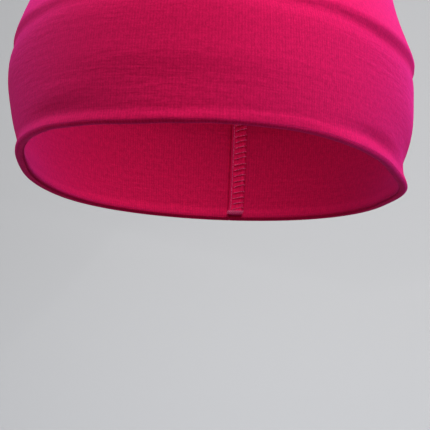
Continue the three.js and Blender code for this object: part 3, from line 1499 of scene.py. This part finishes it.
@dataclass
class NapeSeam:
    """The seam that closes the band, with its flap of allowance turned towards +X inside.

    Attributes:
        form: The band's worn form.
        roll: The padded edge, which the flap passes over.
        width: How far the flap reaches from the seam.
        plies: Layers of cloth in it.
        ply: Thickness of each, pressed flat.
        air: Space between plies.
        clearance: Space under the flap.
        end: Distance from the flap's ends to the band's edges.
        stitch: Pitch of the overlocking and of the straight stitches.
        row_end: Distance from the flap's ends to the rows of stitches.
        root: Distance from the seam line to the middle of each ply's folded end.
        ragged: How far every other ply is trimmed shorter.
        wave: How far the cut edge waves.
        wave_length: Length over which it waves, divided by a whole turn.
        sunk: How deep the seam line lies in the outer face.
        turn_half: Half the width of the cloth that turns in through the seam.
        turn_end: Distance from that cloth's ends to the band's edges.
        needle_line: Distance from the seam line to the straight stitches.
        tack_start: How far a bar tack reaches past the seam line on its other side.
        tack_tall: Length of a bar tack's stitches, up the band.
        corner_step: Length of cloth between two corners of a small piece.
    """

    form: BandForm
    roll: EdgeRoll = EdgeRoll()
    width: float = 6.2 * MM
    plies: int = 4
    ply: float = 0.46 * MM
    air: float = 0.04 * MM
    clearance: float = 0.3 * MM
    end: float = 1.8 * MM
    stitch: float = 2.6 * MM
    row_end: float = 2.1 * MM
    root: float = 0.25 * MM
    ragged: float = 0.35 * MM
    wave: float = 0.12 * MM
    wave_length: float = 2.1 * MM
    sunk: float = 0.5 * MM
    turn_half: float = 0.198 * MM
    turn_end: float = 0.2 * MM
    needle_line: float = 0.9 * MM
    tack_start: float = 0.6 * MM
    tack_tall: float = 1.7 * MM
    corner_step: float = 0.7 * MM

    def lay(self, across: Array, height: Array, depth: Array) -> Array:
        """Points at a depth from the band's outer face at the nape.

        Args:
            across: Distances from the seam line towards +X.
            height: Heights.
            depth: Depths.

        Returns:
            An array of points.
        """
        return self.form.lay(math.pi - across / self.form.radius.nape, height, depth)

    def on_skin(self, across: Array, height: Array, inwards: Array) -> Array:
        """Points inside the band at the nape.

        Args:
            across: Distances from the seam line towards +X.
            height: Heights.
            inwards: Distances in from the lining's skin face.

        Returns:
            An array of points.
        """
        half = self.roll.half_thickness(self.form.from_edge(height))
        return self.lay(across, height, self.form.middle - half - inwards)

    @property
    def row_start(self) -> float:
        """Height where the rows of stitches start."""
        return self.end + self.row_end

    @property
    def row_count(self) -> int:
        """How many whole stitches fit in a row."""
        return int((self.form.height - 2.0 * self.row_start) / self.stitch)

    @property
    def top(self) -> float:
        """Distance of the flap's upper face from the lining."""
        return self.clearance + self.plies * (self.ply + self.air)

    def build_allowance(self) -> bpy.types.Object:
        """Makes the flap: the trimmed ends of four layers of cloth, one on another.

        Returns:
            The linked object.
        """
        pieces = [self._build_ply(number) for number in range(self.plies)]
        pieces.append(self._build_turn())
        return join_pieces("nape_seam_allowance_cloth", pieces)

    def _build_ply(self, number: int) -> bpy.types.Object:
        """Makes one ply of the flap, rounded along both sides.

        Args:
            number: Its place, counted from the lining.

        Returns:
            The linked object.
        """
        half = self.ply / 2.0
        turn = np.radians(np.linspace(90.0, -90.0, 5))
        level = self.clearance + half + number * (self.ply + self.air)
        reach = self.width - self.ragged * (number % 2) - half
        tip = np.stack([reach + half * np.cos(turn), half * np.sin(turn)], axis=-1)
        root = np.stack([self.root - half * np.cos(turn), -half * np.sin(turn)], axis=-1)
        middle = np.linspace(self.root, reach, 6)[1:-1]
        upper = np.stack([middle, np.full(4, half)], axis=-1)
        lower = np.stack([middle[::-1], np.full(4, -half)], axis=-1)
        stations = np.linspace(self.end, self.form.height - self.end, 141)

        def place(height: Array, across: Array, out: Array) -> Array:
            """Stacks the ply; its cut edge stretches as it is sewn, so it waves a little."""
            wave = self.wave * np.sin(height / self.wave_length) * (across / self.width)
            return self.on_skin(across, height, level + out + wave)

        return Sweep(np.concatenate([upper, tip, lower, root]), stations).build(
            f"nape_ply_{number}", place, self._on_cloth
        )

    def _on_cloth(self, height: Array, corner: Array) -> Array:
        """Places on the cloth of the flap's small pieces, corner by corner."""
        return np.stack([corner * self.corner_step, height], axis=-1)

    def _build_turn(self) -> bpy.types.Object:
        """Makes the cloth that turns in through the seam, closes it and rises into the flap.

        Returns:
            The linked object.
        """
        left, right, flap = -self.turn_half, self.turn_half, -0.01 * MM
        section = np.array([(left, 0.0), (flap, 0.0), (flap, 1.0), (right, 1.0),
                            (right, 2.0), (left, 2.0)])
        stations = np.linspace(self.turn_end, self.form.height - self.turn_end, 231)

        def place(height: Array, across: Array, level: Array) -> Array:
            """Runs each level through the band, and into the flap where there is one.

            Args:
                height: Heights.
                across: Distances from the seam line towards +X.
                level: 0 in the flap, 1 at the skin face and 2 at the seam line outside.

            Returns:
                The points on the band.
            """
            from_edge = self.form.from_edge(height)
            half = self.roll.half_thickness(from_edge) * self.roll.roundness(from_edge)
            risen = (self.top - self.ply) * smooth(2.0 * from_edge / self.end - 1.0)
            depth = self.form.middle - half - risen * np.clip(1.0 - level, 0.0, 1.0)
            depth = depth + (2.0 * half - self.sunk) * np.clip(level - 1.0, 0.0, 1.0)
            return self.lay(across, height, depth)

        return Sweep(section, stations).build("nape_turn", place, self._on_cloth)

    def build_needle_thread(self, kit: SewingKit) -> bpy.types.Object:
        """Makes the straight stitches along the seam line, on the flap's upper face.

        Args:
            kit: What it is sewn with.

        Returns:
            The linked object.
        """
        long = self.stitch
        dash = [
            (0.0, 0.05 * long, -0.10 * MM),
            (0.0, 0.16 * long, 0.10 * MM),
            (0.0, 0.50 * long, 0.17 * MM),
            (0.0, 0.84 * long, 0.10 * MM),
            (0.0, 0.95 * long, -0.10 * MM),
        ]

        def place(flat: Array) -> Array:
            """Lays the row on the flap's upper face, a little off the seam line."""
            across, height = flat[:, 0] + self.needle_line, flat[:, 1] + self.row_start
            return self.on_skin(across, height, flat[:, 2] + self.top)

        row = StitchRow(
            dash, long, self.row_count, radius=0.17 * MM, stray=0.04 * MM, seed=5
        )
        return row.build("nape_needle_stitches", kit, place)

    def build_overlock(self, kit: SewingKit) -> bpy.types.Object:
        """Makes the overlocking: loops over the flap, round its cut edge and under it.

        Args:
            kit: What it is sewn with.

        Returns:
            The linked object.
        """
        long, near, far = self.stitch, 1.7 * MM, self.width + 0.15 * MM
        top, under = self.top + 0.16 * MM, self.clearance - 0.14 * MM
        middle = (self.top + self.clearance) / 2.0
        loop = [
            (near, 0.0, top),
            (near + 0.3 * (far - near), long * 0.18, top + 0.05 * MM),
            (near + 0.7 * (far - near), long * 0.36, top + 0.05 * MM),
            (far - 0.35 * MM, long * 0.46, top - 0.05 * MM),
            (far + 0.10 * MM, long * 0.50, middle),
            (far - 0.35 * MM, long * 0.54, under),
            (near + 0.5 * (far - near), long * 0.75, under),
            (near, long * 0.97, under),
        ]

        def place(flat: Array) -> Array:
            """Wraps the row round the flap."""
            return self.on_skin(flat[:, 0], flat[:, 1] + self.row_start, flat[:, 2])

        row = StitchRow(loop, long, self.row_count, seed=7)
        return row.build("nape_overlock_stitches", kit, place)

    def build_tack(self, edge: Edge, kit: SewingKit) -> bpy.types.Object:
        """Makes a bar tack: close stitches across the flap's end, and again on the outside.

        Args:
            edge: Which end it holds.
            kit: What it is sewn with.

        Returns:
            The linked object.
        """
        pitch, count = 0.42 * MM, 18
        tall = self.tack_tall
        foot = self.end if edge is Edge.LOWER else self.form.height - self.end - tall
        bar = [
            (0.0, 0.0, -0.10 * MM),
            (0.25 * MM, 0.05 * MM, 0.12 * MM),
            (tall / 2.0, pitch * 0.5, 0.20 * MM),
            (tall - 0.25 * MM, pitch * 0.9, 0.12 * MM),
            (tall, pitch * 0.95, -0.10 * MM),
        ]

        def inside(flat: Array) -> Array:
            """Lays the bar over the flap's end."""
            across = flat[:, 1] - self.tack_start
            return self.on_skin(across, foot + flat[:, 0], self.top + flat[:, 2])

        def outside(flat: Array) -> Array:
            """Lays the bar across the seam on the outer face, proud of the thinned cloth.

            Args:
                flat: The bar's points, across, along and up.

            Returns:
                The points on the band.
            """
            height = foot + flat[:, 0]
            out = self.roll.fullness * self.roll.roundness(self.form.from_edge(height))
            across = flat[:, 1] - pitch * count / 2.0
            return self.lay(across, height, self.form.middle + out + flat[:, 2])

        row = StitchRow(bar, pitch, count, radius=0.17 * MM, stray=0.08 * MM, seed=11)
        name = f"{edge.value}_bar_tack_stitches"
        halves = [
            row.build(name + "_in", kit, inside),
            row.build(name + "_out", kit, outside),
        ]
        return join_pieces(name, halves)


def join_pieces(name: str, pieces: Sequence[bpy.types.Object]) -> bpy.types.Object:
    """Joins objects into one.

    Args:
        name: The joined object's name.
        pieces: The objects, which are used up.

    Returns:
        The joined object.
    """
    with bpy.context.temp_override(
        active_object=pieces[0], selected_editable_objects=list(pieces)
    ):
        bpy.ops.object.join()
    pieces[0].name = name
    pieces[0].data.name = name
    return pieces[0]


# ---------------------------------------------------------------- the label


@dataclass
class CareLabel:
    """A blank tape, folded end to end and caught in the nape seam.

    Attributes:
        seam: The nape seam that holds it.
        length: From the flap's edge to the fold.
        tall: Its width along the seam.
        bottom: Height of its lower edge.
        tape: Thickness of the tape.
        rest: Distance from the lining to its nearer ply.
        gap: Distance from the flap's edge to where the tape starts.
        fold: Half the space inside its fold.
        lift: How far its free end lifts off.
    """

    seam: NapeSeam
    length: float = 19.6 * MM
    tall: float = 12.0 * MM
    bottom: float = 54.0 * MM
    tape: float = 0.16 * MM
    rest: float = 0.32 * MM
    gap: float = 0.35 * MM
    fold: float = 0.15 * MM
    lift: float = 0.9 * MM

    def build(self) -> bpy.types.Object:
        """Makes the label.

        Returns:
            The linked object.
        """
        start = self.seam.width + self.gap
        half = self.tape / 2.0
        end = start + self.length - self.fold - self.tape
        turn = np.radians(np.linspace(-90.0, 90.0, 9))
        run = np.linspace(start, end, 24)
        level, bend = self.rest + self.tape + self.fold, self.fold + half
        tip = np.stack([end + bend * np.cos(turn), level + bend * np.sin(turn)], axis=-1)
        line = np.concatenate([
            np.stack([run, np.full(24, level - bend)], axis=-1),
            tip[1:-1],
            np.stack([run[::-1], np.full(24, level + bend)], axis=-1),
        ])
        ahead = np.gradient(line, axis=0)
        ahead /= np.linalg.norm(ahead, axis=1, keepdims=True)
        square = np.stack([-ahead[:, 1], ahead[:, 0]], axis=-1) * half
        section = np.concatenate([line - square, (line + square)[::-1]])
        girth = running_length(section)
        stations = np.linspace(self.bottom, self.bottom + self.tall, 15)

        def place(height: Array, across: Array, inwards: Array) -> Array:
            """Lays the tape; its free end lifts a little, more at its upper corner.

            Args:
                height: Heights.
                across: Distances from the seam line towards +X.
                inwards: Distances in from the lining.

            Returns:
                The points on the band.
            """
            out = smooth((across - start) / self.length)
            lift = out * (0.5 + 0.5 * (height - self.bottom) / self.tall) * self.lift
            return self.seam.on_skin(across, height, inwards + lift)

        return Sweep(section, stations).build(
            "care_label_tape",
            place,
            lambda height, corner: np.stack([girth[corner], height], axis=-1),
        )


# ---------------------------------------------------------------- the studio


@dataclass(frozen=True)
class Camera:
    """The viewpoint: in front, a little under the band and to the wearer's left.

    Attributes:
        azimuth: Degrees round from the front towards +X.
        elevation: Degrees above the horizon.
        roll: Degrees by which the horizon is turned anticlockwise in view.
        distance: From the target to the lens.
        target_height: Height of the target on the head's axis.
        aside: How far the view is moved to its own right.
        lens: Focal length in millimetres on a 36 mm sensor.
    """

    azimuth: float = 6.39
    elevation: float = -2.69
    roll: float = 2.09
    distance: float = 0.7
    target_height: float = -1.99 * MM
    aside: float = 3.58 * MM
    lens: float = 148.5

    def build(self) -> bpy.types.Object:
        """Makes the camera and sets it as the scene's.

        Returns:
            The camera object.
        """
        azimuth, elevation, roll = map(
            math.radians, (self.azimuth, self.elevation, self.roll)
        )
        back = Vector((
            math.sin(azimuth) * math.cos(elevation),
            -math.cos(azimuth) * math.cos(elevation),
            math.sin(elevation),
        ))
        level = Vector((math.cos(azimuth), math.sin(azimuth), 0.0))
        upright = back.cross(level)
        right = level * math.cos(roll) + upright * math.sin(roll)
        up = upright * math.cos(roll) - level * math.sin(roll)
        data = bpy.data.cameras.new("camera")
        data.lens, data.sensor_width = self.lens, 36.0
        camera = bpy.data.objects.new("camera", data)
        turn = Matrix((right, up, back)).transposed()
        eye = Vector((0.0, 0.0, self.target_height)) + right * self.aside
        camera.matrix_world = Matrix.Translation(eye + back * self.distance) @ turn.to_4x4()
        bpy.context.scene.collection.objects.link(camera)
        bpy.context.scene.camera = camera
        return camera


@dataclass(frozen=True)
class SoftLight:
    """A large square lamp that shines one way.

    Attributes:
        name: The lamp's name.
        place: Where it stands.
        size: Its side.
        power: Its power in watts.
        colour: Its colour.
        target: What it faces.
    """

    name: str
    place: tuple[float, float, float]
    size: float
    power: float
    colour: str = "#ffffff"
    target: tuple[float, float, float] = (0.0, 0.0, 0.05)

    def build(self) -> bpy.types.Object:
        """Makes the lamp.

        Returns:
            The lamp object.
        """
        data = bpy.data.lights.new(self.name, "AREA")
        data.shape, data.size, data.energy = "SQUARE", self.size, self.power
        data.color = linear(self.colour)[:3]
        lamp = bpy.data.objects.new(self.name, data)
        lamp.location = self.place
        aim = Vector(self.place) - Vector(self.target)
        lamp.rotation_mode = "QUATERNION"
        lamp.rotation_quaternion = aim.to_track_quat("Z", "Y")
        lamp.visible_camera = False
        bpy.context.scene.collection.objects.link(lamp)
        return lamp


@dataclass
class Studio:
    """The pale floor and backdrop, the lamps and the camera.

    Attributes:
        floor_drop: How far the floor lies below the band.
        reach: How far the backdrop stands from the band.
        bend: Radius of the curve from the floor to the backdrop.
        side: How far the floor reaches to each side and to the front.
        wall: How high the backdrop stands.
        paper: Their finish.
        world: Colour of the light from all round.
        world_strength: Its strength.
        lamps: The lamps.
        camera: The camera.
    """

    floor_drop: float = 0.30
    reach: float = 2.4
    bend: float = 0.7
    side: float = 4.0
    wall: float = 3.0
    paper: StudioFinish = StudioFinish("studio_paper", "#bab8b4")
    world: str = "#e4e6ea"
    world_strength: float = 0.27
    lamps: tuple[SoftLight, ...] = (
        SoftLight("ceiling", (0.29, -0.41, 1.3), 0.9, 25.0, "#f0f4ff"),
        SoftLight("back_window", (0.16, 0.89, 1.1), 0.9, 14.0, "#dce8ff"),
        SoftLight("side_window", (1.36, 0.1, 0.42), 0.8, 16.0, "#c8d8ff"),
        SoftLight("room", (-1.13, 0.2, 0.82), 1.0, 9.5, "#e6eeff"),
        SoftLight("backdrop", (0.1, 0.8, -0.1), 2.0, 36.0, "#f8faff", (0.0, 2.4, -0.5)),
    )
    camera: Camera = Camera()

    def build(self) -> None:
        """Makes the whole studio."""
        scene = bpy.context.scene
        scene.view_settings.view_transform = "Standard"
        world = bpy.data.worlds.new("studio")
        world.use_nodes = True
        sky = world.node_tree.nodes["Background"]
        sky.inputs["Color"].default_value = linear(self.world)
        sky.inputs["Strength"].default_value = self.world_strength
        scene.world = world
        floor = self._floor()
        floor.data.materials.append(self.paper.make())
        # The paper throws no light back up, so the hem's underside stays dark.
        floor.visible_diffuse = False
        floor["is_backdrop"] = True
        for lamp in self.lamps:
            lamp.build()
        self.camera.build()
        log.info("studio: floor, %d lamps and camera", len(self.lamps))

    def _floor(self) -> bpy.types.Object:
        """Makes the floor, which curves up behind the band into the backdrop.

        Returns:
            The linked object.
        """
        low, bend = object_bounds()[0].z - self.floor_drop, self.bend
        turn = np.radians(np.linspace(0.0, 90.0, 13))
        curve = np.stack([self.reach - bend + bend * np.sin(turn),
                          low + bend - bend * np.cos(turn)], axis=-1)
        line = np.concatenate([[[-self.side, low]], curve, [[self.reach, low + self.wall]]])
        sides = (-self.side, self.side)
        points = [(x, y, z) for x in sides for y, z in line]
        faces = grid_faces(len(line), 2, closed=False)[:, ::-1]
        return new_piece("studio_floor", np.array(points), faces.tolist())


# ---------------------------------------------------------------- the headband


@dataclass
class Headband:
    """The whole band, built piece by piece on its worn form.

    Attributes:
        form: The worn form.
        jersey: Finish of the outer layer, the strongest pink.
        lining: Finish of the lining, the same jersey a shade deeper: painted shade, as it lies
            in shadow on the skin side.
        thread: Finish of every thread, paler and shinier than the cloth so stitches read.
        satin: Finish of the label, the one white and glossy piece.
    """

    form: BandForm = field(default_factory=BandForm)
    jersey: JerseyFinish = JerseyFinish("cotton_elastane_jersey_pink", "#c20f42", "#ee1654")
    # The lining's colours are the jersey's, darkened: painted shade for the skin side.
    lining: JerseyFinish = JerseyFinish("cotton_elastane_jersey_lining_painted_shade", "#b00d3c", "#dc134c")
    thread: ThreadFinish = ThreadFinish("spun_polyester_thread_pink", "#a8144e", "#e2337c")
    satin: SatinFinish = SatinFinish("woven_satin_tape_white", "#f4f1ec", "#d8d4cd")

    def build(self) -> None:
        """Makes and dresses every piece."""
        jersey, lining = self.jersey.make(), self.lining.make()
        thread, satin = self.thread.make(), self.satin.make()
        kit = SewingKit(stitch_tree(), thread)
        self._build_layers(jersey, lining)
        self._build_edges(kit, jersey)
        self._build_nape(kit, jersey, satin)
        bpy.data.node_groups.remove(kit.tree)

    def _build_layers(
        self, jersey: bpy.types.Material, lining: bpy.types.Material
    ) -> None:
        """Makes the outer layer and the lining.

        Args:
            jersey: The outer layer's material.
            lining: The lining's material.
        """
        outer = JerseyPanel(self.form, Side.OUTER)
        outer_cloth = dress(
            outer.build("outer_panel_cloth"), jersey, "outer_jersey", "outer_panel"
        )
        inner = JerseyPanel(self.form, Side.LINING, face_rows=84, hidden_rows=20)
        inner_cloth = dress(
            inner.build("lining_panel_cloth"), lining, "lining_jersey", "lining_panel"
        )

    def _build_edges(self, kit: SewingKit, jersey: bpy.types.Material) -> None:
        """Makes what fills both padded edges.

        Args:
            kit: What the seams are sewn with.
            jersey: The cloth's material.
        """
        for edge in Edge:
            seam = EdgeSeam(self.form, edge)
            allowance, overlock = seam.build_allowance(), seam.build_thread(kit)
            dress(allowance, jersey, "outer_jersey", f"{edge.value}_seam_allowance")
            dress(overlock, kit.thread, "thread", f"{edge.value}_overlock_thread")

    def _build_nape(
        self, kit: SewingKit, jersey: bpy.types.Material, satin: bpy.types.Material
    ) -> None:
        """Makes the nape seam and the label that it holds.

        Args:
            kit: What the seam is sewn with.
            jersey: The cloth's material.
            satin: The label's material.
        """
        nape = NapeSeam(self.form)
        dress(nape.build_allowance(), jersey, "outer_jersey", "nape_seam_allowance")
        dress(nape.build_needle_thread(kit), kit.thread, "thread", "nape_needle_thread")
        dress(nape.build_overlock(kit), kit.thread, "thread", "nape_overlock_thread")
        for edge in Edge:
            tack = nape.build_tack(edge, kit)
            dress(tack, kit.thread, "thread", f"{edge.value}_bar_tack")
        dress(CareLabel(nape).build(), satin, "label_satin", "care_label")


def write_sizes() -> None:
    boxes = {"cad": cad_box, "visual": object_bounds()}
    lists = {name: [list(corner) for corner in box] for name, box in boxes.items()}


def main() -> None:
    """Builds the studio and the headband."""
    logging.basicConfig(level=logging.INFO, format="%(name)s: %(message)s")
    Studio().build()
    Headband().build()
    write_sizes()


if __name__ == "__main__":
    main()
